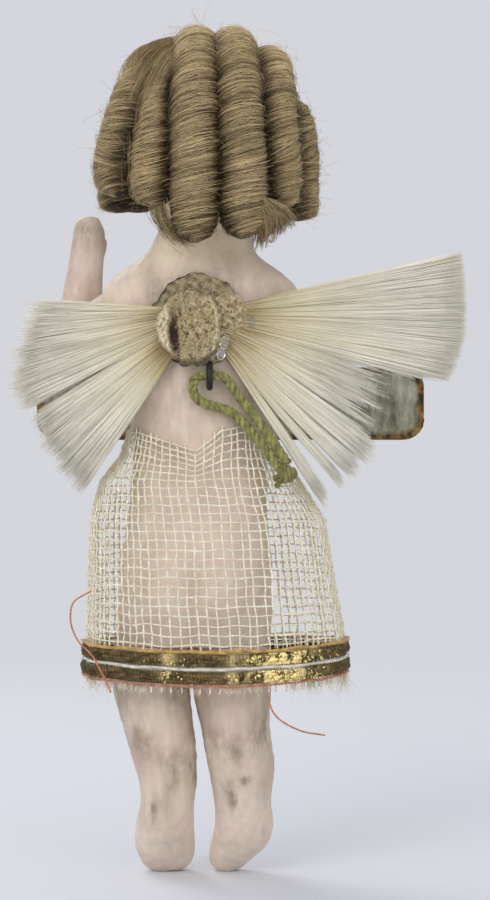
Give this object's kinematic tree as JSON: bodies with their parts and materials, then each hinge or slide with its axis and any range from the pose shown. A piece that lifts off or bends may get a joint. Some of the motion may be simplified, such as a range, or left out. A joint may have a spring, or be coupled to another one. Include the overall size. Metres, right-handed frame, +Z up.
{
  "type": "wax angel ornament",
  "caption": "Hanging wax angel doll with a ringlet wig, spun-glass wings on a glued hub, a gauze skirt with gold trim, a paper banner, and a cord on a wire eye in its back.",
  "frame": {"origin": "middle of the wire eye in the angel's back, where the hanging cord passes through", "axes": "+Z up to the crown of the head, +Y out of the back, -Y out of the face, +X to the angel's own left"},
  "size_m": [0.0643, 0.0332, 0.1211],
  "materials": {
    "wax": "satin wax, smudged",
    "iron": "black wire",
    "eye_glass": "gloss bead",
    "mohair": "wound hair",
    "cap_cloth": "woven cloth",
    "card": "rough card",
    "spun_glass": "fine strands",
    "glue": "rough dried glue",
    "green_cord": "twisted cotton",
    "gauze": "open weave",
    "gold_braid": "aged metallic braid",
    "white_thread": "cotton thread",
    "ochre_thread": "cotton thread",
    "red_thread": "cotton thread",
    "paper": "aged paper",
    "gilt_paper": "worn gilt paper"
  },
  "bodies": {
    "figure": {"body": "wax", "left_arm": "wax", "right_arm": "wax", "left_leg": "wax", "right_leg": "wax", "left_arm_pin": "iron", "right_arm_pin": "iron", "left_leg_pin": "iron", "right_leg_pin": "iron", "left_eye": "eye_glass", "right_eye": "eye_glass", "wig_cap": "cap_cloth", "ringlet_1": "mohair", "ringlet_2": "mohair", "ringlet_3": "mohair", "ringlet_4": "mohair", "ringlet_5": "mohair", "ringlet_6": "mohair", "ringlet_7": "mohair", "ringlet_8": "mohair", "ringlet_9": "mohair", "ringlet_10": "mohair", "wing_disc": "card", "left_wing": "spun_glass", "right_wing": "spun_glass", "glue_pad": "glue", "hanging_eye": "iron", "skirt": "gauze", "trim_upper_band": "gold_braid", "trim_lower_band": "gold_braid", "trim_middle_cord": "white_thread", "trim_top_thread": "ochre_thread", "trim_bottom_thread": "red_thread", "banner": "paper", "banner_border": "gilt_paper"},
    "hanger": {"hanging_cord": "green_cord", "cord_knot": "green_cord"}
  },
  "joints": [
    {"name": "hanger_swing", "type": "hinge", "parent": "figure", "child": "hanger", "pos_m": [0, 0, 0], "axis": [1, 0, 0], "range_deg": [0, 150]}
  ]
}
